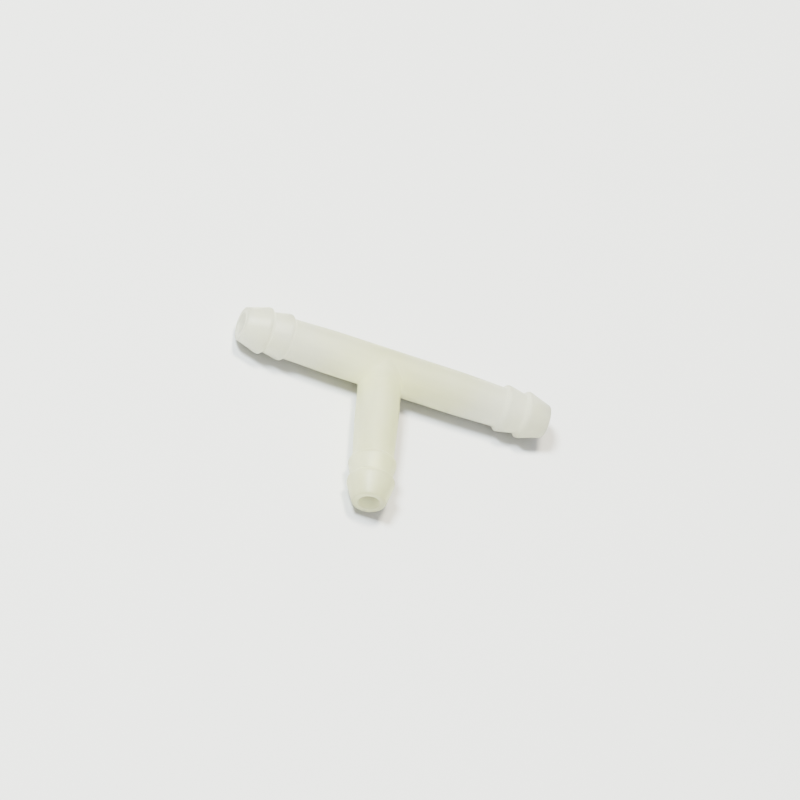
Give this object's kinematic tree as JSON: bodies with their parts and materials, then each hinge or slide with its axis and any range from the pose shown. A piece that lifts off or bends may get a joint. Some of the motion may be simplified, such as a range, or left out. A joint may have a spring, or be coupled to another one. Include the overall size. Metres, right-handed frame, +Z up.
{
  "type": "barbed tee connector",
  "caption": "Small straight-run tee with double hose barbs on every arm, joining lengths of thin micro-irrigation tube.",
  "frame": {"origin": "where the run bore and the branch bore axes cross", "axes": "+X along the run towards the right arm, which is the longer one, -Y along the branch towards its mouth, +Z up with the tee lying flat on its crests"},
  "size_m": [0.0368, 0.0207, 0.0052],
  "materials": {
    "nylon": "natural, slightly translucent, satin from the mould"
  },
  "bodies": {
    "root": {"junction_hub": "nylon", "left_stem": "nylon", "right_stem": "nylon", "branch_stem": "nylon", "left_barbed_tip": "nylon", "right_barbed_tip": "nylon", "branch_barbed_tip": "nylon"}
  },
  "joints": []
}
